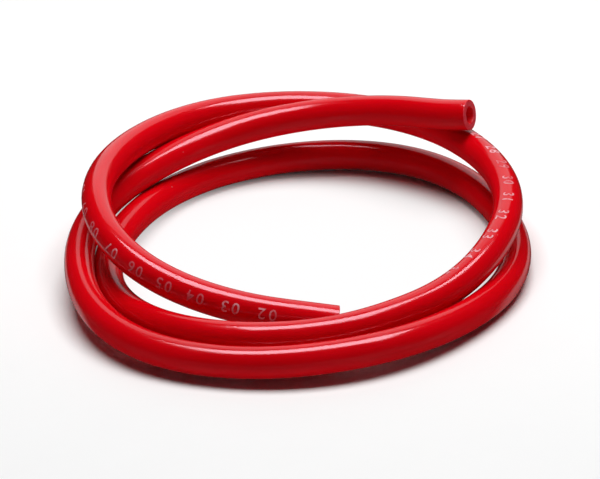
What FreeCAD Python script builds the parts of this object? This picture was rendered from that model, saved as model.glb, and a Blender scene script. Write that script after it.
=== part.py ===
import FreeCAD, Part

import math
import os
from typing import NamedTuple

# A length of soft single-layer hose, wound by hand into two and a half loose turns.
# Both ends are cut square and left bare.
# The coil lies on the plane z = 0, and the origin is the middle of its footprint there.
# Seen from above, bearings run counterclockwise from +X, the right-hand side.

# The hose
OUTSIDE_DIAMETER = 9.0
BORE = 5.0

# The coil: its mean radius, how far the hose goes round, and where the winding starts
COIL_RADIUS = 61.0
TURNS = 2.6
START_BEARING = 48.0

# The wound stretch runs straight for one diameter at both ends, and the cut ends carry on in line
LEAD_OUT = OUTSIDE_DIAMETER
UPPER_END_LENGTH = 9.0
LOWER_END_LENGTH = 9.0

# The wound stretch has flat sides in place of a round section, and the same area as the round one
OUTSIDE_SIDES = 16
BORE_SIDES = 12

# The hose flattens a little where it lies on a surface
FLAT_DEPTH = OUTSIDE_DIAMETER / 10

# The strands lie over and beside one another, so their places are counted in hose diameters,
# at even steps round the winding from the upper end to the lower end.
# ASIDE is how far the hose strays outwards from the mean radius.
# UP is how far it is lifted above the strand that lies on the surface.
ASIDE = (
    0.0, 0.0, -0.05, 0.4,
    1.35, 0.75, 0.55, 0.35, 0.95, 0.2, -0.7, -0.35,
    0.1, -0.3, 0.05, 0.4, 1.05, 0.75,
    -0.2, -0.9, -1.5,
)
UP = (
    2.5, 1.65, 0.95, 0.55,
    0.15, 0.0, 0.0, 0.0, 0.0, 0.0, 0.0, 0.0,
    0.35, 0.45, 1.25, 1.6, 1.7, 1.9,
    1.85, 1.15, 0.45,
)

# Two strands keep at least this much clear space, measured on points this far apart
LEAST_GAP = 0.4
GAP_STEP = 1.0

STEPS = len(ASIDE) - 1
STEP_ANGLE = math.radians(360.0 * TURNS / STEPS)
STEPS_PER_BIARC = 2
HOSE_RADIUS = OUTSIDE_DIAMETER / 2
BORE_RADIUS = BORE / 2
LYING_HEIGHT = HOSE_RADIUS - FLAT_DEPTH


class End(NamedTuple):
    """Where the wound stretch stops, and the way that the hose leads out of it there."""

    start: FreeCAD.Vector
    outwards: FreeCAD.Vector


class Winding(NamedTuple):
    """The centreline of the wound stretch, its bends, its two ends, and a point that it rests on."""

    path: Part.Wire
    bends: list
    upper: End
    lower: End
    resting_point: FreeCAD.Vector


def slopes(values):
    """Change per step at each station, from its neighbours, and from three stations at the ends."""
    inner = [(after - before) / 2 for before, after in zip(values, values[2:])]
    first = (-3 * values[0] + 4 * values[1] - values[2]) / 2
    last = (3 * values[-1] - 4 * values[-2] + values[-3]) / 2
    return [first] + inner + [last]


def stations():
    """Places and directions of the centreline at the stations, about the coil's own axis."""
    climbs = [0.0 if up == 0.0 else climb for up, climb in zip(UP, slopes(UP))]
    places, directions = [], []
    for step, (aside, drift, up, climb) in enumerate(zip(ASIDE, slopes(ASIDE), UP, climbs)):
        bearing = math.radians(START_BEARING) + step * STEP_ANGLE
        outwards = FreeCAD.Vector(math.cos(bearing), math.sin(bearing), 0)
        onwards = FreeCAD.Vector(-math.sin(bearing), math.cos(bearing), 0)
        radius = COIL_RADIUS + aside * OUTSIDE_DIAMETER
        place = outwards * radius
        place.z = LYING_HEIGHT + up * OUTSIDE_DIAMETER
        direction = outwards * (drift * OUTSIDE_DIAMETER) + onwards * (radius * STEP_ANGLE)
        direction.z = climb * OUTSIDE_DIAMETER
        places.append(place)
        directions.append(direction.normalize())
    return places, directions


def arc_from(start, direction, end):
    """The one arc that leaves start along the direction and reaches end."""
    chord = end - start
    side = chord - direction * chord.dot(direction)
    side.normalize()
    radius = chord.dot(chord) / (2 * chord.dot(side))
    centre = start + side * radius
    middle = (start - centre) + (end - centre)
    middle.normalize()
    return Part.Arc(start, centre + middle * radius, end).toShape()


def biarc(start, leaving, end, arriving):
    """Two arcs that meet smoothly and keep the directions at both ends."""
    chord = end - start
    both = leaving + arriving
    bend = 2 * (1 - leaving.dot(arriving))
    reach = (math.sqrt(chord.dot(both) ** 2 + bend * chord.dot(chord)) - chord.dot(both)) / bend
    meeting = (start + leaving * reach + end - arriving * reach) * 0.5
    return [arc_from(start, leaving, meeting), arc_from(end, arriving * -1, meeting)]


def to_footprint_middle(path):
    """The shift that brings the middle of the coil's footprint to the origin."""
    points = path.discretize(Distance=GAP_STEP)
    across = [point.x for point in points]
    along = [point.y for point in points]
    return FreeCAD.Vector(-(min(across) + max(across)) / 2, -(min(along) + max(along)) / 2, 0)


def winding():
    """The wound stretch: biarcs of about a quarter turn between straight lead-outs."""
    places, directions = stations()
    bends = []
    for step in range(0, STEPS, STEPS_PER_BIARC):
        ahead = step + STEPS_PER_BIARC
        bends += biarc(places[step], directions[step], places[ahead], directions[ahead])
    first = places[0] - directions[0] * LEAD_OUT
    last = places[-1] + directions[-1] * LEAD_OUT
    edges = [Part.makeLine(first, places[0]), *bends, Part.makeLine(places[-1], last)]
    path = Part.Wire(edges)
    shift = to_footprint_middle(path)
    path.translate(shift)
    under = places[UP.index(0.0)] + shift
    under.z = 0
    return Winding(
        path=path,
        bends=bends,
        upper=End(first + shift, directions[0] * -1),
        lower=End(last + shift, directions[-1]),
        resting_point=under,
    )


def many_sided(end, radius, sides):
    """An even outline square to the hose, with the area of the circle, and flats at top and bottom."""
    turn = 2 * math.pi / sides
    corner_radius = radius * math.sqrt(turn / math.sin(turn))
    level = end.outwards.cross(FreeCAD.Vector(0, 0, 1)).normalize()
    upright = level.cross(end.outwards).normalize()
    bearings = [(side + 0.5) * turn for side in range(sides)]
    corners = [
        end.start + (level * math.sin(bearing) + upright * math.cos(bearing)) * corner_radius
        for bearing in bearings
    ]
    return Part.makePolygon(corners + corners[:1])


def sweep(coil, radius, sides):
    """The sides of a sweep along the winding, and the two faces that close its ends."""
    solid = coil.path.makePipeShell([many_sided(coil.upper, radius, sides)], True, False)
    closing = [
        min(solid.Faces, key=lambda face: face.CenterOfMass.distanceToPoint(end.start))
        for end in (coil.upper, coil.lower)
    ]
    walls = [face for face in solid.Faces if not any(face.isSame(other) for other in closing)]
    return walls, closing


def rest_flat(solid):
    """The solid less what would reach below the surface that the coil lies on."""
    reach = 2 * COIL_RADIUS
    corner = FreeCAD.Vector(-reach, -reach, -OUTSIDE_DIAMETER)
    below = Part.makeBox(2 * reach, 2 * reach, OUTSIDE_DIAMETER, corner)
    return solid.cut(below).Solids[0]


def wound_hose(coil):
    """The wound stretch, open right through: its outside and its bore, joined by a ring at each end."""
    outside, outer_ends = sweep(coil, HOSE_RADIUS, OUTSIDE_SIDES)
    bore, bore_ends = sweep(coil, BORE_RADIUS, BORE_SIDES)
    rings = [outer.cut(inner).Faces[0] for outer, inner in zip(outer_ends, bore_ends)]
    return Part.Solid(Part.Shell(outside + [face.reversed() for face in bore] + rings))


def cut_end(end, length):
    """A straight, square-cut end of the hose, open right through."""
    outside = Part.makeCylinder(HOSE_RADIUS, length, end.start, end.outwards)
    inside = Part.makeCylinder(BORE_RADIUS, length, end.start, end.outwards)
    return outside.cut(inside)


def least_gap(path):
    """The least clear space between two strands, measured on points along the centreline."""
    points = path.discretize(Distance=GAP_STEP)
    quarter_turn = int(COIL_RADIUS * math.pi / 2 / GAP_STEP)
    nearest = min(
        point.distanceToPoint(other)
        for index, point in enumerate(points)
        for other in points[index + quarter_turn:]
    )
    return nearest - OUTSIDE_DIAMETER


def rounded(vector):
    """A place or direction short enough to read."""
    return [round(value, 4) for value in vector]


def main():
    os.makedirs("parts", exist_ok=True)
    coil = winding()
    stretches = {
        "hose_coil": wound_hose(coil),
        "upper_free_end": cut_end(coil.upper, UPPER_END_LENGTH),
        "lower_free_end": cut_end(coil.lower, LOWER_END_LENGTH),
    }
    for name, stretch in stretches.items():
        shape = rest_flat(stretch)
        shape.exportStep(os.path.join("parts", name + ".step"))
        print(name, "valid", shape.isValid(), "solids", len(shape.Solids), "volume", round(shape.Volume, 1))

    wall_section = math.pi * (HOSE_RADIUS**2 - BORE_RADIUS**2)
    full_length = coil.path.Length + UPPER_END_LENGTH + LOWER_END_LENGTH
    gap = least_gap(coil.path)
    print("hose length", round(full_length, 1), "mm")
    print("wound stretch before it lies flat", round(stretches["hose_coil"].Volume, 1), "mm3")
    print("its section times its length", round(wall_section * coil.path.Length, 1), "mm3")
    print("tightest bend", round(min(bend.Curve.Radius for bend in coil.bends), 1), "mm")
    print("least gap between strands", round(gap, 2), "mm, enough:", gap > LEAST_GAP)
    print("rests at", rounded(coil.resting_point))
    for name, end, length in (
        ("upper", coil.upper, UPPER_END_LENGTH),
        ("lower", coil.lower, LOWER_END_LENGTH),
    ):
        middle = end.start + end.outwards * (length / 2)
        print(name, "end leaves the coil at", rounded(end.start), "towards", rounded(end.outwards))
        print(name, "end has its middle at", rounded(middle))


main()
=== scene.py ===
"""A coiled air hose: one glossy red hose, wound by hand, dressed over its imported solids.

It lies on a white surface, and the camera looks at it from the photograph's viewing angle.
"""

import logging
import math
from abc import ABC, abstractmethod
from bisect import bisect_right
from dataclasses import dataclass
from enum import Enum
from typing import Any, Sequence

import bmesh
import bpy
from mathutils import Matrix, Vector

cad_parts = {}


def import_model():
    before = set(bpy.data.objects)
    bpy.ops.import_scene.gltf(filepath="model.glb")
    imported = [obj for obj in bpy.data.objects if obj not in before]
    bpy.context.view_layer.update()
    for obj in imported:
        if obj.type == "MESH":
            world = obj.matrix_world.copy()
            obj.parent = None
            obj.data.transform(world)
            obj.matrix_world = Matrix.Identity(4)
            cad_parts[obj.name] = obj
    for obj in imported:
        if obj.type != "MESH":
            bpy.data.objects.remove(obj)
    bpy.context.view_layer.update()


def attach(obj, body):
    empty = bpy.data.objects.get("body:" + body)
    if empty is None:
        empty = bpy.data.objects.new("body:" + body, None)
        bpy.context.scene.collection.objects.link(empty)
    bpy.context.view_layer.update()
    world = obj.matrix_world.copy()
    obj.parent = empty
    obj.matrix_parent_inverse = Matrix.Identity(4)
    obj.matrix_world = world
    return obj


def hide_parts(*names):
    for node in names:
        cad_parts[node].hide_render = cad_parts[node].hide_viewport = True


log = logging.getLogger("coiled_hose")

MM = 0.001
RIGHT_AXIS = Vector((1.0, 0.0, 0.0))
BACK_AXIS = Vector((0.0, 1.0, 0.0))
UP_AXIS = Vector((0.0, 0.0, 1.0))

# The hose, and its section where it is bent, as shares of a round one
OUTSIDE_DIAMETER = 9.0 * MM
BORE = 5.0 * MM
SECTION_HEIGHT = 1.035
SECTION_WIDTH = 0.985

# Steps of the smooth line from one control point to the next
LINE_STEPS = 6

# Points of a figure that lie closer than this are one point
MERGE_DISTANCE = 0.001 * MM

# The map that the pieces carry: metres along the hose from its upper cut end, and metres around it
HOSE_MAP = "along_and_around"

# Colour sockets of the Mix node, by number, because its other sockets have the same names
MIX_FIRST = 6
MIX_SECOND = 7
MIX_RESULT = 2

# The light that the soft plastic lets in under its surface
LIGHT_LET_IN = {
    "Subsurface Weight": 0.25,
    "Subsurface Radius": (1.0, 0.08, 0.05),
    "Subsurface Scale": 1.6 * MM,
}

Colour = tuple[float, float, float, float]


class Surface(Enum):
    """The kinds of surface on the hose, in the order of its material slots."""

    WALL = 0
    CUT = 1
    BORE = 2


# Shader maths


class Wire:
    """One value in a material's maths, so that an expression on values adds its Math nodes."""

    def __init__(self, graph: "Graph", socket: bpy.types.NodeSocket) -> None:
        """Keeps the graph that the value belongs to and the socket that gives it."""
        self.graph = graph
        self.socket = socket

    def _math(self, operation: str, *values: "Wire | float") -> "Wire":
        """One Math node.

        Args:
            operation: the node's operation.
            values: numbers or wires, in the order of its sockets.

        Returns:
            The node's result.
        """
        return self.graph.node("ShaderNodeMath", {"operation": operation}, dict(enumerate(values)))

    def __add__(self, other: "Wire | float") -> "Wire":
        """The sum."""
        return self._math("ADD", self, other)

    __radd__ = __add__

    def __rsub__(self, other: "Wire | float") -> "Wire":
        """The difference, with the number first."""
        return self._math("SUBTRACT", other, self)

    def __mul__(self, other: "Wire | float") -> "Wire":
        """The product."""
        return self._math("MULTIPLY", self, other)

    __rmul__ = __mul__

    def maximum(self, other: "Wire | float") -> "Wire":
        """The larger of the two."""
        return self._math("MAXIMUM", self, other)

    def ramp(self, start: float, end: float) -> "Wire":
        """A smooth rise from 0 to 1.

        Args:
            start: the value where the rise begins.
            end: the value where it is over. It may be under start, and then the result falls.

        Returns:
            The share from 0 to 1.
        """
        low, high = min(start, end), max(start, end)
        rise = self.graph.node(
            "ShaderNodeMapRange",
            {"interpolation_type": "SMOOTHSTEP"},
            {"Value": self, "From Min": low, "From Max": high},
        )
        return rise if start < end else 1 - rise


class Graph:
    """A node tree under construction."""

    def __init__(self, tree: bpy.types.NodeTree) -> None:
        """Keeps the tree of a material or of the world, and empties it."""
        self.tree = tree
        tree.nodes.clear()

    def _added(
        self, kind: str, settings: dict[str, Any], values: dict[int | str, Any]
    ) -> bpy.types.Node:
        """Adds one node, sets it and links it.

        Args:
            kind: the node's type.
            settings: its properties, which are set first.
            values: numbers, colours or wires for its sockets, by name or number.

        Returns:
            The node.
        """
        made = self.tree.nodes.new(kind)
        for name, value in settings.items():
            setattr(made, name, value)
        for key, value in values.items():
            if isinstance(value, Wire):
                self.tree.links.new(value.socket, made.inputs[key])
            else:
                made.inputs[key].default_value = value
        return made

    def node(
        self,
        kind: str,
        settings: dict[str, Any] | None = None,
        values: dict[int | str, Any] | None = None,
        result: int | str = 0,
    ) -> Wire:
        """Adds one node and gives one of its outputs.

        Args:
            kind: the node's type.
            settings: its properties, which are set first.
            values: numbers, colours or wires for its sockets, by name or number.
            result: the name or number of the output that is wanted.

        Returns:
            The wanted output.
        """
        return Wire(self, self._added(kind, settings or {}, values or {}).outputs[result])

    def finish(self, shader: Wire, kind: str = "ShaderNodeOutputMaterial") -> None:
        """Links the last shader to the tree's output, which is a node of this kind."""
        self._added(kind, {}, {"Surface": shader})

    def place(self) -> Wire:
        """The place on a piece, in metres."""
        return self.node("ShaderNodeTexCoord", result="Object")

    def place_on_hose(self) -> Wire:
        """The place as metres along the hose and metres around it."""
        return self.node("ShaderNodeUVMap", {"uv_map": HOSE_MAP})

    def stretched(self, place: Wire, scales: Sequence[float], offset: Sequence[float] = (0, 0, 0)) -> Wire:
        """A place with its axes stretched and moved.

        Args:
            place: the place.
            scales: what each axis is multiplied by.
            offset: what is then added to it.

        Returns:
            The new place.
        """
        return self.node(
            "ShaderNodeMapping",
            {"vector_type": "POINT"},
            {"Vector": place, "Scale": tuple(scales), "Location": tuple(offset)},
        )

    def mix(self, share: Wire, first: Wire | Colour, second: Wire | Colour) -> Wire:
        """A colour between two.

        Args:
            share: 0 for the first, 1 for the second.
            first: a colour or a wire.
            second: a colour or a wire.

        Returns:
            The colour.
        """
        values = {"Factor": share, MIX_FIRST: first, MIX_SECOND: second}
        return self.node("ShaderNodeMix", {"data_type": "RGBA"}, values, MIX_RESULT)

    def bump(self, height: Wire, depth: float, under: Wire | None = None) -> Wire:
        """A normal that is tilted by a height.

        Args:
            height: the height, from 0 to 1.
            depth: what a height of 1 is worth, in metres.
            under: the normal that the height lies on, or None for the surface's own.

        Returns:
            The normal.
        """
        values = {"Height": height, "Distance": depth, "Strength": 1.0}
        if under is not None:
            values["Normal"] = under
        return self.node("ShaderNodeBump", values=values)

    def light_path(self, *kinds: str) -> Wire:
        """Whether a ray is of one of these kinds.

        Args:
            kinds: names of the Light Path node's outputs.

        Returns:
            1 for these kinds of ray, 0 for all others.
        """
        share, *others = [self.node("ShaderNodeLightPath", result=kind) for kind in kinds]
        for other in others:
            share = share.maximum(other)
        return share

    def principled(self, values: dict[str, Any]) -> Wire:
        """A shader for solid matter, with these values or wires."""
        return self.node("ShaderNodeBsdfPrincipled", values=values)

    def plain(self, colour: Wire | Colour) -> Wire:
        """A shader that shows a colour as it is, whatever the light."""
        return self.node("ShaderNodeEmission", values={"Color": colour, "Strength": 1.0})

    def blend(self, share: Wire, first: Wire, second: Wire) -> Wire:
        """A shader between two, where a share of 0 is the first and 1 the second."""
        return self.node("ShaderNodeMixShader", values={0: share, 1: first, 2: second})


def grey(level: float) -> Colour:
    """The grey of a brightness, where 1 is white."""
    return (level, level, level, 1.0)


@dataclass(frozen=True)
class Pattern:
    """Soft random values over a surface.

    Attributes:
        per_metre: how many swells there are in a metre, along each axis of the place.
        detail: how many finer layers are added.
        roughness: how strong the finer layers are.
        rise: the values where the pattern's effect begins and where it is whole, or None for
            the values as they are.
    """

    per_metre: tuple[float, float, float]
    detail: float = 2.0
    roughness: float = 0.5
    rise: tuple[float, float] | None = None

    def over(self, place: Wire) -> Wire:
        """The pattern over a surface.

        Args:
            place: the place on the surface, in metres.

        Returns:
            The value, from 0 to 1.
        """
        graph = place.graph
        value = graph.node(
            "ShaderNodeTexNoise",
            {"noise_dimensions": "3D"},
            {
                "Vector": graph.stretched(place, self.per_metre),
                "Scale": 1.0,
                "Detail": self.detail,
                "Roughness": self.roughness,
            },
            "Fac",
        )
        return value.ramp(*self.rise) if self.rise else value


# Finishes


class Finish(ABC):
    """What a surface is made of, and how it looks.

    Attributes:
        name: the material's name.
    """

    name: str

    @abstractmethod
    def shader(self, graph: Graph) -> Wire:
        """The finish as a shader.

        Args:
            graph: the material's graph.

        Returns:
            The shader.
        """

    def material(self) -> bpy.types.Material:
        """A new material with this finish.

        Returns:
            The material.
        """
        material = bpy.data.materials.new(self.name)
        material.use_nodes = True
        graph = Graph(material.node_tree)
        graph.finish(self.shader(graph))
        return material


@dataclass(frozen=True)
class RedPlastic(Finish):
    """Glossy extruded soft plastic, one colour right through.

    Attributes:
        name: the material's name.
        colour: its usual red.
        deep: the red of the slightly darker drifts along the hose.
        dust: the colour of the few specks on it.
        roughness: the roughness of clean wall.
        rougher: how much rougher the dull scuffs and the specks are.
        drifts: where the red is deeper.
        scuffs: where the wall is dull.
        swell: the soft swell that the extruder leaves.
        swell_depth: how deep it is.
        draw_lines: the fine lines along the hose.
        line_depth: how deep they are.
        speck_places: how many places for a speck there are in a metre.
        speck_edge: how far from its middle a speck ends, and where it is whole, in shares of
            such a place.
        dusty: the few patches where the specks show.
    """

    name: str = "red_hose_wall"
    colour: Colour = (0.75, 0.0005, 0.006, 1.0)
    deep: Colour = (0.65, 0.0004, 0.004, 1.0)
    dust: Colour = (0.68, 0.12, 0.13, 1.0)
    roughness: float = 0.14
    rougher: float = 0.10
    drifts: Pattern = Pattern((14.0, 60.0, 1.0), rise=(0.35, 0.7))
    scuffs: Pattern = Pattern((60.0, 500.0, 1.0), detail=3.0, roughness=0.6, rise=(0.45, 0.75))
    swell: Pattern = Pattern((95.0, 95.0, 95.0), detail=1.0, roughness=0.4)
    swell_depth: float = 0.10 * MM
    draw_lines: Pattern = Pattern((25.0, 5200.0, 1.0), detail=1.0)
    line_depth: float = 0.004 * MM
    speck_places: float = 230.0
    speck_edge: tuple[float, float] = (0.075, 0.04)
    dusty: Pattern = Pattern((190.0, 190.0, 190.0), detail=0.0, rise=(0.66, 0.72))

    def shader(self, graph: Graph) -> Wire:
        """The hose's outside, patterned along and around it.

        Args:
            graph: the material's graph.

        Returns:
            The shader.
        """
        place, along = graph.place(), graph.place_on_hose()
        to_speck = graph.node(
            "ShaderNodeTexVoronoi", {"feature": "F1"}, {"Vector": place, "Scale": self.speck_places}
        )
        speck = to_speck.ramp(*self.speck_edge) * self.dusty.over(place)
        red = graph.mix(self.drifts.over(along), self.colour, self.deep)
        swell = graph.bump(self.swell.over(place), self.swell_depth)
        return graph.principled(
            {
                "Base Color": graph.mix(speck, red, self.dust),
                "Roughness": self.roughness + self.rougher * self.scuffs.over(along).maximum(speck),
                "IOR": 1.55,
                "Specular Tint": (1.0, 0.78, 0.93, 1.0),
                "Coat Weight": 0.12,
                "Coat Roughness": 0.06,
                "Normal": graph.bump(self.draw_lines.over(along), self.line_depth, swell),
                **LIGHT_LET_IN,
            }
        )


@dataclass(frozen=True)
class CutFace(Finish):
    """The same plastic where a blade went through it: paler, matt and finely grooved.

    Attributes:
        name: the material's name.
        colour: the red of the cut.
        pale: the red of its grooves.
        roughness: the roughness of its smoothest spots.
        rougher: how much rougher the torn ones are.
        grooves: the blade's marks.
        groove_depth: how deep they are.
        paling: the values of that pattern where the red begins to pale and where it is pale.
        torn: where the blade tore the plastic.
    """

    name: str = "red_hose_cut"
    colour: Colour = (0.72, 0.008, 0.025, 1.0)
    pale: Colour = (0.80, 0.04, 0.07, 1.0)
    roughness: float = 0.42
    rougher: float = 0.2
    grooves: Pattern = Pattern((300.0, 300.0, 2600.0))
    groove_depth: float = 0.03 * MM
    paling: tuple[float, float] = (0.4, 0.75)
    torn: Pattern = Pattern((900.0, 900.0, 900.0))

    def shader(self, graph: Graph) -> Wire:
        """The two square-cut faces.

        Args:
            graph: the material's graph.

        Returns:
            The shader.
        """
        place = graph.place()
        grooves = self.grooves.over(place)
        return graph.principled(
            {
                "Base Color": graph.mix(grooves.ramp(*self.paling), self.colour, self.pale),
                "Roughness": self.roughness + self.rougher * self.torn.over(place),
                "IOR": 1.5,
                "Normal": graph.bump(grooves, self.groove_depth),
                **LIGHT_LET_IN,
            }
        )


@dataclass(frozen=True)
class BoreWall(Finish):
    """The inside of the hose, duller than the outside, and painted as glowing a little.

    Attributes:
        name: the material's name.
        colour: its red.
        shade: the red of its darker bands.
        painted_glow: how brightly the bore is painted as glowing, in place of light that comes through
        the wall.
        roughness: the roughness of its smoothest bands.
        rougher: how much rougher the dullest are.
        draw_lines: the lines that the extruder leaves along the bore.
        line_depth: how deep they are.
        shading: the values of that pattern where the red begins to darken and where it is dark.
    """

    name: str = "red_hose_bore"
    colour: Colour = (0.66, 0.002, 0.008, 1.0)
    shade: Colour = (0.52, 0.001, 0.005, 1.0)
    painted_glow: float = 0.12
    roughness: float = 0.32
    rougher: float = 0.15
    draw_lines: Pattern = Pattern((40.0, 1800.0, 1.0))
    line_depth: float = 0.012 * MM
    shading: tuple[float, float] = (0.4, 0.7)

    def shader(self, graph: Graph) -> Wire:
        """The bore, patterned along and around the hose.

        Args:
            graph: the material's graph.

        Returns:
            The shader.
        """
        drawn = self.draw_lines.over(graph.place_on_hose())
        red = graph.mix(drawn.ramp(*self.shading), self.colour, self.shade)
        return graph.principled(
            {
                "Base Color": red,
                # Painted light: the bore glows with its own red, in place of light that comes through the
                # wall.
                "Emission Color": red,
                "Emission Strength": self.painted_glow,
                "Roughness": self.roughness + self.rougher * drawn,
                "IOR": 1.5,
                "Normal": graph.bump(drawn, self.line_depth),
            }
        )


@dataclass(frozen=True)
class MarkingInk(Finish):
    """Thin pale ink, printed along the hose and partly rubbed away.

    Attributes:
        name: the material's name.
        fresh: the colour where the ink is whole.
        rubbed: the colour where the red shows through it.
        roughness: the roughness of its smoothest spots.
        rougher: how much rougher the rubbed ones are.
        rubbing: the fine unevenness of the ink.
        uneven: how deep it is.
        fading: the broad stretches that are paler or redder.
        rubbing_share: the share of the fine unevenness in both together.
        handled: how far from the upper cut end the ink starts to be worn by handling.
        worn: how far from the upper cut end it is worn the most.
        most_wear: how much that adds to both together.
        going: the values of the sum where the ink begins to go and where it is gone.
    """

    name: str = "pale_ink"
    fresh: Colour = (0.86, 0.42, 0.47, 1.0)
    rubbed: Colour = (0.70, 0.10, 0.13, 1.0)
    roughness: float = 0.38
    rougher: float = 0.2
    rubbing: Pattern = Pattern((700.0, 700.0, 700.0), detail=3.0, roughness=0.6)
    uneven: float = 0.01 * MM
    fading: Pattern = Pattern((35.0, 35.0, 35.0), detail=1.0)
    rubbing_share: float = 0.55
    handled: float = 0.86
    worn: float = 1.0
    most_wear: float = 0.14
    going: tuple[float, float] = (0.48, 0.64)

    def shader(self, graph: Graph) -> Wire:
        """The ink of the length marks.

        Args:
            graph: the material's graph.

        Returns:
            The shader.
        """
        place = graph.place()
        rubbing = self.rubbing.over(place)
        both = self.rubbing_share * rubbing + (1 - self.rubbing_share) * self.fading.over(place)
        along = graph.node("ShaderNodeSeparateXYZ", values={"Vector": graph.place_on_hose()}, result="X")
        gone = (both + self.most_wear * along.ramp(self.handled, self.worn)).ramp(*self.going)
        return graph.principled(
            {
                "Base Color": graph.mix(gone, self.fresh, self.rubbed),
                "Roughness": self.roughness + self.rougher * rubbing,
                "IOR": 1.45,
                "Normal": graph.bump(rubbing, self.uneven),
            }
        )


@dataclass(frozen=True)
class WhiteBoard(Finish):
    """The smooth white surface that the coil lies on.

    Attributes:
        name: the material's name.
        white: how bright it is.
        speck: how bright the darker part of its faint grain is.
        grain: that grain.
        roughness: how dull its sheen is.
        rougher: how much duller the grain makes it.
        near: how far from the coil the lamps alone light it.
        far: where it has turned into the plain white background.
        inside: the share of plain white painted over the shadows in the eye of the coil, as painted
        light.
        eye: how far from the middle that share is whole.
        eye_end: where it has come to nothing.
        beside: where the bands painted bright for the gloss, left and right of the coil, begin.
        rim: how far they reach to the left and right.
        rim_depth: how much less they reach forwards and backwards, as a factor.
        bright_back: how far their middle lies behind the coil's.
        fade: how far their edges fade to either side.
        painted_reflection_dim: the flat brightness painted on the rest of the floor, which the gloss
            shows as a dim painted reflection.
        painted_reflection_bright: the flat brightness painted on the bands, which the gloss shows as
            a bright painted reflection.
    """

    name: str = "white_board"
    white: float = 0.93
    speck: float = 0.915
    grain: Pattern = Pattern((60.0, 60.0, 60.0), detail=3.0)
    roughness: float = 0.6
    rougher: float = 0.05
    near: float = 0.16
    far: float = 0.45
    inside: float = 0.6
    eye: float = 0.052
    eye_end: float = 0.066
    beside: float = 0.078
    rim: float = 0.106
    rim_depth: float = 0.58
    bright_back: float = 0.012
    fade: float = 0.006
    painted_reflection_dim: float = 0.018
    painted_reflection_bright: float = 0.5

    def shader(self, graph: Graph) -> Wire:
        """The floor: real shadows near the coil, partly lightened by painted light in its eye, plain white
        further out, and painted reflections for the gloss.

        Args:
            graph: the material's graph.

        Returns:
            The shader.
        """
        place = graph.place()
        grain = self.grain.over(place)
        board = graph.principled(
            {
                "Base Color": graph.mix(grain, grey(self.white), grey(self.speck)),
                "Roughness": self.roughness + self.rougher * grain,
                "Specular IOR Level": 0.3,
            }
        )
        reach = self._reach(place)
        # Painted light: plain white over the real shadows in the eye of the coil, for the camera alone.
        painted_eye_light = self.inside * reach.ramp(self.eye_end, self.eye)
        whitened = reach.ramp(self.near, self.far).maximum(painted_eye_light)
        seen = graph.blend(graph.light_path("Is Camera Ray") * whitened, board, graph.plain(grey(1.0)))
        # Painted reflection: for glossy rays the floor is a flat painted brightness, dim except left and
        # right of the coil.
        levels = grey(self.painted_reflection_dim), grey(self.painted_reflection_bright)
        mirrored = graph.plain(graph.mix(self._painted_bright_parts(place), *levels))
        return graph.blend(graph.light_path("Is Glossy Ray", "Is Transmission Ray"), seen, mirrored)

    def _painted_bright_parts(self, place: Wire) -> Wire:
        """Where the floor is painted bright for the gloss, as a painted reflection.

        Args:
            place: the place.

        Returns:
            1 left and right of the coil, 0 elsewhere.
        """
        round_reach = self._reach(place, self.bright_back)
        flat_reach = self._reach(place, self.bright_back, self.rim_depth)
        begun = round_reach.ramp(self.beside - self.fade, self.beside + self.fade)
        return begun * flat_reach.ramp(self.rim + self.fade, self.rim - self.fade)

    def _reach(self, place: Wire, back: float = 0.0, depth: float = 1.0) -> Wire:
        """How far a place is from a point of the floor.

        Args:
            place: the place.
            back: how far the point lies behind the coil's middle.
            depth: what a distance forwards or backwards is divided by.

        Returns:
            The distance.
        """
        graph = place.graph
        moved = graph.stretched(place, (1.0, 1.0 / depth, 1.0), (0.0, -back / depth, 0.0))
        return graph.node("ShaderNodeVectorMath", {"operation": "LENGTH"}, {0: moved}, "Value")


# The way the hose lies


def slopes(values: Sequence[float]) -> list[float]:
    """Change per step at each station, from its neighbours, and from three stations at the ends.

    Args:
        values: one value per station.

    Returns:
        The slopes, one per station.
    """
    inner = [(after - before) / 2 for before, after in zip(values, values[2:])]
    first = (-3 * values[0] + 4 * values[1] - values[2]) / 2
    last = (3 * values[-1] - 4 * values[-2] + values[-3]) / 2
    return [first, *inner, last]


def eased(values: Sequence[float], rates: Sequence[float], step: int, share: float) -> float:
    """The value between two stations, on a cubic that keeps the slopes at both.

    Args:
        values: one value per station.
        rates: the slopes there.
        step: the station before the place.
        share: how far the place is on the way to the next station, from 0 to 1.

    Returns:
        The value at that place.
    """
    rest = 1 - share
    start = (1 + 2 * share) * rest**2 * values[step] + share * rest**2 * rates[step]
    if share == 0:
        return start
    end = (1 + 2 * rest) * share**2 * values[step + 1] - rest * share**2 * rates[step + 1]
    return start + end


@dataclass(frozen=True)
class Spring:
    """A stretch where the wound hose springs up and forwards, or sinks down and backwards.

    Attributes:
        bearing: the middle of the stretch, in degrees that count on from turn to turn.
        span: how far it goes to either side, in degrees.
        rise: how far the hose is lifted in the middle. It is negative where the hose sinks.
        forwards: how far it moves forwards for each unit of its rise.
    """

    bearing: float
    span: float
    rise: float
    forwards: float = 2.0

    def shift(self, bearing: float) -> Vector:
        """How far the hose is moved at one place.

        Args:
            bearing: the place, in degrees.

        Returns:
            The shift.
        """
        off = (bearing - self.bearing) / self.span
        lift = self.rise * math.cos(math.pi / 2 * off) ** 2 if abs(off) < 1 else 0.0
        return Vector((0.0, -self.forwards * lift, lift))


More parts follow.
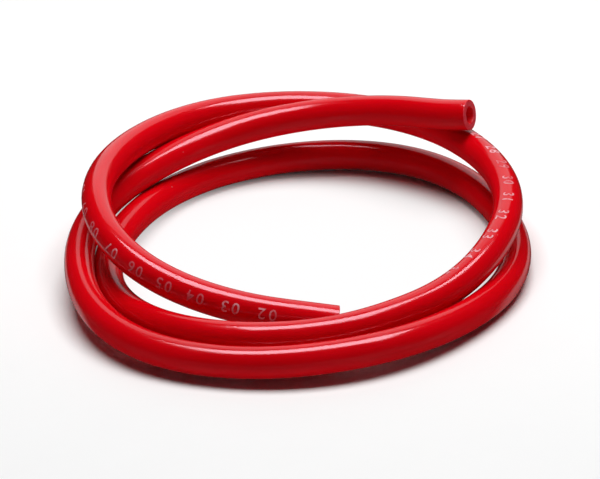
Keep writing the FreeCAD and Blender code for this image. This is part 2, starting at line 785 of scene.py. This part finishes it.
@dataclass(frozen=True)
class Winding:
    """How the hose goes round, in metres, with its strands' places counted in hose diameters.

    Attributes:
        diameter: the outside diameter of the hose.
        coil_radius: the mean radius of the coil.
        turns: how far the hose goes round between its straight ends.
        start_bearing: where the winding starts, counterclockwise from +X, in degrees.
        lead_out: the first part of each straight end, which counts in the coil's footprint.
        tip: the rest of each straight end.
        pressed: how much the hose gives where it lies on a surface.
        turned_out: how far the upper cut end straightens out of the coil's bend, in degrees.
        turned_early: the share of that turn that its lead-out makes already.
        springs: the stretches that stand off the even winding.
        points_per_step: points of the route from one station to the next.
        aside: how far the hose strays outwards from the mean radius, at each station.
        up: how far it is lifted above the strand that lies on the surface, at each station.
    """

    diameter: float = OUTSIDE_DIAMETER
    coil_radius: float = 61.0 * MM
    turns: float = 2.6
    start_bearing: float = 48.0
    lead_out: float = 9.0 * MM
    tip: float = 6.8 * MM
    pressed: float = 0.1 * MM
    turned_out: float = 16.0
    turned_early: float = 0.3
    springs: tuple[Spring, ...] = (
        Spring(95.0, 47.0, -1.2 * MM),
        Spring(160.0, 30.0, 0.15 * MM, forwards=0.0),
        Spring(284.0, 46.0, 2.0 * MM),
        Spring(520.0, 44.0, 1.3 * MM, forwards=0.0),
        Spring(640.0, 40.0, 1.2 * MM),
        Spring(680.0, 28.0, -1.15 * MM, forwards=0.0),
        Spring(815.0, 50.0, -1.5 * MM),
        Spring(865.0, 40.0, -0.6 * MM, forwards=0.0),
        Spring(895.0, 60.0, 2.5 * MM),
    )
    points_per_step: int = 8
    aside: tuple[float, ...] = (
        0.0, 0.02, 0.0, 0.38,
        1.36, 0.7, 0.56, 0.36, 0.98, 0.22, -0.74, -0.34,
        0.16, -0.3, 0.06, 0.42, 1.06, 0.74,
        -0.22, -1.0, -1.5,
    )
    up: tuple[float, ...] = (
        2.5, 1.68, 0.96, 0.54,
        0.16, 0.0, 0.0, 0.0, 0.0, 0.0, 0.0, 0.0,
        0.36, 0.46, 1.24, 1.6, 1.7, 1.94,
        1.84, 1.16, 0.4,
    )

    @property
    def steps(self) -> int:
        """How many steps there are between the stations."""
        return len(self.aside) - 1

    @property
    def step_angle(self) -> float:
        """The angle from one station to the next."""
        return math.radians(360.0 * self.turns / self.steps)

    def spring_at(self, bearing: float) -> Vector:
        """How far the hose springs off the even winding at a bearing in radians."""
        shifts = (spring.shift(math.degrees(bearing)) for spring in self.springs)
        return sum(shifts, Vector((0.0, 0.0, 0.0)))

    def wound_points(self, springing: float = 1.0) -> list[Vector]:
        """Points of the wound stretch about the coil's own axis, from the upper end to the lower.

        Args:
            springing: 1 for the hose as it lies, 0 for the even winding.

        Returns:
            The points.
        """
        drifts = slopes(self.aside)
        climbs = [0.0 if up == 0.0 else climb for up, climb in zip(self.up, slopes(self.up))]
        lying_height = self.diameter / 2 - self.pressed
        points = []
        for count in range(self.steps * self.points_per_step + 1):
            step, part = divmod(count, self.points_per_step)
            share = part / self.points_per_step
            bearing = math.radians(self.start_bearing) + (step + share) * self.step_angle
            radius = self.coil_radius + self.diameter * eased(self.aside, drifts, step, share)
            height = lying_height + self.diameter * eased(self.up, climbs, step, share)
            even = Vector((radius * math.cos(bearing), radius * math.sin(bearing), height))
            points.append(even + springing * self.spring_at(bearing))
        return points

    def end_direction(self, step: int) -> Vector:
        """The way that the hose runs at a station, towards the lower end.

        Args:
            step: the station.

        Returns:
            A unit vector.
        """
        bearing = math.radians(self.start_bearing) + step * self.step_angle
        outwards = Vector((math.cos(bearing), math.sin(bearing), 0.0))
        onwards = Vector((-math.sin(bearing), math.cos(bearing), 0.0))
        radius = self.coil_radius + self.diameter * self.aside[step]
        drift = slopes(self.aside)[step] * self.diameter
        climb = slopes(self.up)[step] * self.diameter
        return (outwards * drift + onwards * radius * self.step_angle + UP_AXIS * climb).normalized()

    def footprint_middle(self) -> Vector:
        """The middle of the even coil's footprint, lead-outs included, seen from the coil's own axis.

        Returns:
            The place, on the surface.
        """
        even = self.wound_points(springing=0.0)
        first = even[0] - self.end_direction(0) * self.lead_out
        last = even[-1] + self.end_direction(self.steps) * self.lead_out
        middle = Vector((0.0, 0.0, 0.0))
        for axis in (0, 1):
            places = [point[axis] for point in (first, *even, last)]
            middle[axis] = (min(places) + max(places)) / 2
        return middle

    def route(self) -> list[Vector]:
        """The points of the whole hose about the footprint's middle, from the upper cut end.

        Returns:
            The points.
        """
        wound = self.wound_points()
        leaving, arriving = self.end_direction(0), self.end_direction(self.steps)
        straightened = Matrix.Rotation(math.radians(self.turned_out), 3, "Z") @ leaving
        between = leaving.lerp(straightened, self.turned_early).normalized()
        bent = wound[0] - between * self.lead_out
        upper = [bent - straightened * self.tip, bent]
        lower = [wound[-1] + arriving * length for length in (self.lead_out, self.lead_out + self.tip)]
        middle = self.footprint_middle()
        return [point - middle for point in (*upper, *wound, *lower)]


@dataclass(frozen=True)
class Station:
    """A place on the hose's centreline, with the directions around it.

    Attributes:
        centre: the place.
        along: the way towards the lower end.
        out: the level way out of the coil.
        up: square to both.
    """

    centre: Vector
    along: Vector
    out: Vector
    up: Vector

    def around(self, angle: float, radius: float) -> Vector:
        """A point around the hose, whose section is a little taller than wide because it is bent.

        Args:
            angle: from the outer side, over the top, in radians.
            radius: the radius before the bend.

        Returns:
            The point, which is never under the surface that the hose lies on.
        """
        wide = self.out * (SECTION_WIDTH * math.cos(angle))
        tall = self.up * (SECTION_HEIGHT * math.sin(angle))
        place = self.centre + (wide + tall) * radius
        place.z = max(place.z, 0.0)
        return place


class Centreline:
    """The smooth line of the hose, measured along its length.

    Attributes:
        points: close points of the line, from the upper end to the lower.
        distances: how far along the line each of them is.
    """

    def __init__(self, points: Sequence[Vector]) -> None:
        """Measures the line.

        Args:
            points: its points.
        """
        self.points = list(points)
        self.distances = [0.0]
        for before, after in zip(self.points, self.points[1:]):
            self.distances.append(self.distances[-1] + (after - before).length)

    @property
    def length(self) -> float:
        """The whole length."""
        return self.distances[-1]

    def _direction(self, index: int) -> Vector:
        """The direction at one of the points.

        Args:
            index: the point's number.

        Returns:
            A unit vector.
        """
        before = self.points[max(index - 1, 0)]
        after = self.points[min(index + 1, len(self.points) - 1)]
        return (after - before).normalized()

    def at(self, distance: float) -> Station:
        """The place at a distance along the hose, and the directions there.

        Args:
            distance: how far it is from the upper end. Past an end it counts as that end.

        Returns:
            The station.
        """
        distance = min(max(distance, 0.0), self.length)
        after = min(bisect_right(self.distances, distance), len(self.points) - 1)
        before = after - 1
        span = self.distances[after] - self.distances[before]
        share = (distance - self.distances[before]) / span
        centre = self.points[before].lerp(self.points[after], share)
        along = self._direction(before).lerp(self._direction(after), share).normalized()
        out = along.cross(UP_AXIS).normalized()
        return Station(centre, along, out, out.cross(along))


def smooth_line(name: str, route: Sequence[Vector]) -> Centreline:
    """The smooth line that a route's points control.

    Args:
        name: a name for the curve while it is there.
        route: the control points.

    Returns:
        The line.
    """
    curve = bpy.data.curves.new(name, "CURVE")
    curve.dimensions = "3D"
    curve.resolution_u = LINE_STEPS
    spline = curve.splines.new("NURBS")
    spline.points.add(len(route) - 1)
    for control, point in zip(spline.points, route):
        control.co = (*point, 1.0)
    spline.order_u = 3
    spline.use_endpoint_u = True
    holder = bpy.data.objects.new(name, curve)
    bpy.context.scene.collection.objects.link(holder)
    mesh = bpy.data.meshes.new_from_object(holder)
    points = [vertex.co.copy() for vertex in mesh.vertices]
    bpy.data.objects.remove(holder)
    bpy.data.curves.remove(curve)
    bpy.data.meshes.remove(mesh)
    return Centreline(points)


# The hose and the marks on it


def finished_object(name: str, mesh: bmesh.types.BMesh) -> bpy.types.Object:
    """A scene object that takes over a mesh under construction.

    Args:
        name: the piece's name.
        mesh: its mesh, which is freed.

    Returns:
        The object.
    """
    data = bpy.data.meshes.new(name)
    mesh.to_mesh(data)
    mesh.free()
    piece = bpy.data.objects.new(name, data)
    bpy.context.scene.collection.objects.link(piece)
    return piece


@dataclass(frozen=True)
class Ring:
    """One ring of points round the hose.

    Attributes:
        distance: how far it is from the upper cut end.
        radius: its radius.
        surface: what the hose shows from this ring to the next.
    """

    distance: float
    radius: float
    surface: Surface


@dataclass
class Hose:
    """The hose itself: wall, bore and two square-cut ends, as one closed mesh.

    Attributes:
        line: its centreline.
        outside_diameter: its outside diameter.
        bore: its inside diameter.
        around: points in each ring.
        wall_spacing: the distance from ring to ring outside.
        bore_spacing: the distance from ring to ring inside.
        edge: how much the cut edges are rounded.
        edge_points: rings over each rounded edge.
        finishes: what each kind of surface is made of, in the order of the material slots.
    """

    line: Centreline
    outside_diameter: float = OUTSIDE_DIAMETER
    bore: float = BORE
    around: int = 48
    wall_spacing: float = 1.6 * MM
    bore_spacing: float = 3.2 * MM
    edge: float = 0.16 * MM
    edge_points: int = 3
    finishes: tuple[Finish, ...] = (RedPlastic(), CutFace(), BoreWall())

    def _long_rings(
        self, start: float, end: float, radius: float, spacing: float, surface: Surface
    ) -> list[Ring]:
        """Even rings along the wall or the bore, without one at the end.

        Args:
            start: the distance of the first ring along the hose.
            end: where the next ring would be the first of an edge.
            radius: their radius.
            spacing: about how far apart they are.
            surface: what the hose shows there.

        Returns:
            The rings.
        """
        count = round(abs(end - start) / spacing)
        return [Ring(start + (end - start) * step / count, radius, surface) for step in range(count)]

    def _edge_rings(self, face: float, inwards: int, radius: float, towards: int) -> list[Ring]:
        """Rings over one rounded edge, from the wall or the bore to the cut face.

        Args:
            face: the cut face's distance along the hose.
            inwards: 1 where the hose lies further along from the face, -1 where it lies before.
            radius: the radius of the wall or the bore.
            towards: 1 where the cut face has larger radii than that, -1 where smaller.

        Returns:
            The rings.
        """
        rings = []
        for count in range(self.edge_points + 1):
            turn = math.pi / 2 * count / self.edge_points
            back = self.edge * (1 - math.sin(turn))
            aside = self.edge * (1 - math.cos(turn))
            rings.append(Ring(face + inwards * back, radius + towards * aside, Surface.CUT))
        return rings

    def rings(self) -> list[Ring]:
        """All rings: along the wall, over the lower cut face, back through the bore, over the upper one.

        An edge's first ring is also the first of the wall or the bore, so a reversed edge stops before it.

        Returns:
            The rings, in a closed round.
        """
        outer, inner = self.outside_diameter / 2, self.bore / 2
        upper, lower = 0.0, self.line.length
        first, last = upper + self.edge, lower - self.edge
        return [
            *self._long_rings(first, last, outer, self.wall_spacing, Surface.WALL),
            *self._edge_rings(lower, -1, outer, -1),
            *self._edge_rings(lower, -1, inner, 1)[:0:-1],
            *self._long_rings(last, first, inner, self.bore_spacing, Surface.BORE),
            *self._edge_rings(upper, 1, inner, 1),
            *self._edge_rings(upper, 1, outer, -1)[:0:-1],
        ]

    def _add_ring(self, mesh: bmesh.types.BMesh, ring: Ring) -> list[bmesh.types.BMVert]:
        """Adds one ring's points.

        Args:
            mesh: the mesh under construction.
            ring: the ring.

        Returns:
            Its points, from the outer side over the top.
        """
        station = self.line.at(ring.distance)
        turns = (2 * math.pi * side / self.around for side in range(self.around))
        return [mesh.verts.new(station.around(turn, ring.radius)) for turn in turns]

    def build(self) -> bpy.types.Object:
        """The closed mesh of the hose, pressed flat where it lies on the surface.

        Returns:
            The piece.
        """
        rings = self.rings()
        mesh = bmesh.new()
        grid = [self._add_ring(mesh, ring) for ring in rings]
        hose_map = mesh.loops.layers.uv.new(HOSE_MAP)
        side_width = math.pi * self.outside_diameter / self.around
        for index, ring in enumerate(rings):
            following = (index + 1) % len(rings)
            here, there = ring.distance, rings[following].distance
            for side in range(self.around):
                beside = (side + 1) % self.around
                face = mesh.faces.new(
                    (grid[index][side], grid[following][side], grid[following][beside], grid[index][beside])
                )
                face.material_index = ring.surface.value
                face.smooth = True
                places = ((here, side), (there, side), (there, side + 1), (here, side + 1))
                for loop, (distance, sides) in zip(face.loops, places):
                    loop[hose_map].uv = (distance, sides * side_width)
        bmesh.ops.recalc_face_normals(mesh, faces=mesh.faces)
        piece = finished_object("red_hose", mesh)
        for finish in self.finishes:
            piece.data.materials.append(finish.material())
        return piece


@dataclass
class LengthMarks:
    """Plain numbers printed along the hose, which count the centimetres from its lower end.

    Attributes:
        line: the hose's centreline.
        radius: the outside radius of the hose.
        spacing: the distance from one number to the next.
        first: the first number.
        font_size: the size of the figures. They stand about 0.7 of it high.
        pitch: the distance from one figure to the next.
        bolder: how much each stroke is widened to either side.
        curve_steps: steps of a round stroke from one point of its outline to the next.
        slice_width: the widest that a flat part of a figure may be, so that it wraps the hose.
        proud: how far the ink stands out of the wall.
        sunk: how far it reaches into the wall.
        twist: where the line of print runs: shares of the length from the upper end, and the
            angle around the hose there, in degrees, from the outer side over the top.
        ink: the finish.
    """

    line: Centreline
    radius: float = OUTSIDE_DIAMETER / 2
    spacing: float = 10.0 * MM
    first: int = 2
    font_size: float = 4.6 * MM
    pitch: float = 3.0 * MM
    bolder: float = 0.02 * MM
    curve_steps: int = 3
    slice_width: float = 0.4 * MM
    proud: float = 0.03 * MM
    sunk: float = 0.02 * MM
    twist: tuple[tuple[float, float], ...] = (
        (0.0, 285.0),
        (0.2, 275.0),
        (0.6, 262.0),
        (0.655, 210.0),
        (0.675, 112.0),
        (0.7, 94.0),
        (0.73, 82.0),
        (0.9, 24.0),
        (1.0, 20.0),
    )
    ink: Finish = MarkingInk()

    @property
    def last(self) -> int:
        """The last number, which stays at least one spacing clear of the upper cut end."""
        return math.floor(self.line.length / self.spacing) - 1

    def angle_at(self, distance: float) -> float:
        """Where the line of print runs round the hose.

        Args:
            distance: how far along the hose, from the upper end.

        Returns:
            The angle from the outer side, over the top, in radians.
        """
        share = distance / self.line.length
        for (before, start), (after, end) in zip(self.twist, self.twist[1:]):
            if share <= after:
                break
        return math.radians(start + (end - start) * (share - before) / (after - before))

    def _outline(self, text: str) -> bmesh.types.BMesh:
        """One figure as a flat shape about its own middle.

        Args:
            text: the figure.

        Returns:
            Its mesh, which the caller frees.
        """
        bpy.ops.object.select_all(action="DESELECT")
        bpy.ops.object.text_add(location=(0.0, 0.0, 0.0))
        plate = bpy.context.object
        plate.data.body = text
        plate.data.size = self.font_size
        plate.data.align_x = "CENTER"
        plate.data.align_y = "CENTER"
        plate.data.resolution_u = self.curve_steps
        plate.data.offset = self.bolder
        bpy.ops.object.convert(target="MESH")
        outline = plate.data
        flat = bmesh.new()
        flat.from_mesh(outline)
        bpy.data.objects.remove(plate)
        bpy.data.meshes.remove(outline)
        bmesh.ops.remove_doubles(flat, verts=flat.verts, dist=MERGE_DISTANCE)
        return flat

    def _cut_into_slices(self, flat: bmesh.types.BMesh) -> None:
        """Cuts a flat shape both ways, so that it can be wrapped round the hose.

        Args:
            flat: the shape's mesh.
        """
        for axis, normal in enumerate((RIGHT_AXIS, BACK_AXIS)):
            places = [vertex.co[axis] for vertex in flat.verts]
            cut = math.ceil(min(places) / self.slice_width) * self.slice_width
            while cut < max(places):
                everything = [*flat.verts, *flat.edges, *flat.faces]
                bmesh.ops.bisect_plane(flat, geom=everything, plane_co=normal * cut, plane_no=normal)
                cut += self.slice_width

    def figure(self, text: str) -> bmesh.types.BMesh:
        """One figure as a thin flat plate, cut into slices, about its own middle.

        Args:
            text: the figure.

        Returns:
            Its mesh, which the caller frees.
        """
        flat = self._outline(text)
        self._cut_into_slices(flat)
        raised = bmesh.ops.extrude_face_region(flat, geom=flat.faces[:], use_keep_orig=True)["geom"]
        tops = [element for element in raised if isinstance(element, bmesh.types.BMVert)]
        bmesh.ops.translate(flat, verts=tops, vec=UP_AXIS * (self.proud + self.sunk))
        bmesh.ops.recalc_face_normals(flat, faces=flat.faces)
        return flat

    def _add(self, print_line: bmesh.types.BMesh, figure: bmesh.types.BMesh, middle: float) -> None:
        """Adds one figure, read away from the lower end, with its top towards the coil's outside.

        Args:
            print_line: the mesh of all the numbers.
            figure: the figure's mesh.
            middle: how far along the hose its middle is, from the upper end.
        """
        hose_map = print_line.loops.layers.uv[HOSE_MAP]
        wrapped = {}
        for vertex in figure.verts:
            distance = middle - vertex.co.x
            angle = self.angle_at(distance) - vertex.co.y / self.radius
            place = self.line.at(distance).around(angle, self.radius - self.sunk + vertex.co.z)
            wrapped[vertex.index] = print_line.verts.new(place), (distance, self.radius * angle)
        for face in figure.faces:
            corners = [wrapped[vertex.index] for vertex in face.verts]
            laid = print_line.faces.new([vertex for vertex, _ in corners])
            for loop, (_, place) in zip(laid.loops, corners):
                loop[hose_map].uv = place

    def build(self) -> bpy.types.Object:
        """All the numbers, wrapped round the hose.

        Returns:
            The piece.
        """
        figures = {text: self.figure(text) for text in "0123456789"}
        print_line = bmesh.new()
        print_line.loops.layers.uv.new(HOSE_MAP)
        for number in range(self.first, self.last + 1):
            text = f"{number:02d}"
            for place, digit in enumerate(text):
                along = number * self.spacing + (place - (len(text) - 1) / 2) * self.pitch
                self._add(print_line, figures[digit], self.line.length - along)
        for mesh in figures.values():
            mesh.free()
        piece = finished_object("length_marks", print_line)
        piece.data.materials.append(self.ink.material())
        return piece


# The studio


@dataclass(frozen=True)
class Softbox:
    """One soft lamp, turned to the coil, with its width from left to right.

    Attributes:
        name: what it is called.
        place: where its middle is.
        size: its width and depth.
        level: how bright its face is, where 1 is white.
    """

    name: str
    place: tuple[float, float, float]
    size: tuple[float, float]
    level: float

    def build(self) -> None:
        """Adds the lamp."""
        lamp = bpy.data.lights.new(self.name, "AREA")
        lamp.shape = "RECTANGLE"
        lamp.size, lamp.size_y = self.size
        lamp.energy = self.level * math.pi * self.size[0] * self.size[1]
        holder = bpy.data.objects.new(self.name, lamp)
        bpy.context.scene.collection.objects.link(holder)
        away = Vector(self.place).normalized()
        forwards = away.cross(RIGHT_AXIS).normalized()
        turned = Matrix((forwards.cross(away), forwards, away)).transposed()
        holder.matrix_world = Matrix.Translation(self.place) @ turned.to_4x4()
        holder.visible_camera = False


@dataclass
class Studio:
    """The white surface, the lamps, the room and the camera.

    Attributes:
        coil_axis: where the coil's own axis stands.
        floor_reach: half the floor's width.
        floor_depth: how far the white lies under the surface that the coil rests on.
        board: the floor's finish.
        room: how bright the room is behind the lamps, as the gloss shows it.
        fill: how bright the room's own light is.
        lamps: the soft lamps.
        camera_distance: from the foot of the coil's axis to the camera.
        camera_elevation: how far the camera looks down, in degrees.
        camera_roll: how far the camera leans, in degrees.
        nearest: the nearest that the camera sees.
        farthest: the farthest that it sees.
        focal_length: of the lens, in millimetres.
        film_width: in millimetres.
        image_size: the picture's width and height in pixels.
        coil_axis_pixel: where the foot of the coil's axis shows in the picture.
    """

    coil_axis: Vector
    floor_reach: float = 4.0
    floor_depth: float = 0.5 * MM
    board: Finish = WhiteBoard()
    room: float = 0.008
    fill: float = 0.012
    lamps: tuple[Softbox, ...] = (
        Softbox("overhead_softbox", place=(0.08, 0.11, 1.0), size=(0.9, 0.5), level=8.6),
        Softbox("rear_softbox", place=(0.03, 0.52, 0.3), size=(0.46, 0.64), level=0.75),
    )
    camera_distance: float = 1.123
    camera_elevation: float = 26.38
    camera_roll: float = 2.69
    nearest: float = 0.05
    farthest: float = 20.0
    focal_length: float = 228.0
    film_width: float = 36.0
    image_size: tuple[int, int] = (600, 479)
    coil_axis_pixel: tuple[float, float] = (297.7, 265.1)

    def floor(self) -> None:
        """The white surface, which lies a trace under the coil, as paint does under a clear coat."""
        bpy.ops.object.select_all(action="DESELECT")
        bpy.ops.mesh.primitive_plane_add(size=2 * self.floor_reach, location=(0.0, 0.0, -self.floor_depth))
        plane = bpy.context.object
        plane.name = "white_floor"
        plane.data.materials.append(self.board.material())

    def surroundings(self) -> None:
        """A white background for the camera, and dim light from the room."""
        world = bpy.data.worlds.new("studio")
        bpy.context.scene.world = world
        world.use_nodes = True
        graph = Graph(world.node_tree)
        seen = graph.light_path("Is Camera Ray")
        mirrored = graph.light_path("Is Glossy Ray", "Is Transmission Ray")
        level = seen.maximum(mirrored * self.room).maximum(self.fill)
        background = graph.node("ShaderNodeBackground", values={"Color": grey(1.0), "Strength": level})
        graph.finish(background, "ShaderNodeOutputWorld")

    def _aimed(self, back: Vector, right: Vector, above: Vector) -> Vector:
        """Turns the camera a little, so that the coil's axis shows at its pixel.

        Args:
            back: the way from the foot of the coil's axis to the camera.
            right: the picture's way to the right.
            above: the picture's way up.

        Returns:
            The way out of the camera's back.
        """
        pixel = self.film_width / self.focal_length / self.image_size[0]
        turn_right = (self.image_size[0] / 2 - self.coil_axis_pixel[0]) * pixel
        turn_up = (self.coil_axis_pixel[1] - self.image_size[1] / 2) * pixel
        return (back - right * turn_right - above * turn_up).normalized()

    def camera(self) -> None:
        """The camera, placed and aimed as the photograph was taken."""
        data = bpy.data.cameras.new("photo_camera")
        data.lens = self.focal_length
        data.sensor_width = self.film_width
        data.clip_start = self.nearest
        data.clip_end = self.farthest
        holder = bpy.data.objects.new("photo_camera", data)
        bpy.context.scene.collection.objects.link(holder)
        bpy.context.scene.camera = holder
        elevation, roll = math.radians(self.camera_elevation), math.radians(self.camera_roll)
        back = Vector((0.0, -math.cos(elevation), math.sin(elevation)))
        level_up = back.cross(RIGHT_AXIS)
        leaning_right = RIGHT_AXIS * math.cos(roll) - level_up * math.sin(roll)
        leaning_up = RIGHT_AXIS * math.sin(roll) + level_up * math.cos(roll)
        backward = self._aimed(back, leaning_right, leaning_up)
        right = leaning_up.cross(backward).normalized()
        turned = Matrix((right, backward.cross(right), backward)).transposed()
        place = Matrix.Translation(self.coil_axis + back * self.camera_distance)
        holder.matrix_world = place @ turned.to_4x4()

    def build(self) -> None:
        """Everything round the coil."""
        bpy.context.scene.view_settings.view_transform = "Standard"
        self.floor()
        self.surroundings()
        for lamp in self.lamps:
            lamp.build()
        self.camera()


def main() -> None:
    """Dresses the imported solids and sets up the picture."""
    logging.basicConfig(level=logging.INFO, format="%(name)s: %(message)s")
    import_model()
    winding = Winding()
    line = smooth_line("hose_route", winding.route())
    log.info("centreline %.1f mm long", line.length / MM)
    Studio(coil_axis=-winding.footprint_middle()).build()

    hose = Hose(line)
    piece = hose.build()
    marks = LengthMarks(line).build()
    for made in (piece, marks):
        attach(made, "root")
        log.info("%s: %d faces", made.name, len(made.data.polygons))
    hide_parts("hose_coil", "upper_free_end", "lower_free_end")


if __name__ == "__main__":
    main()
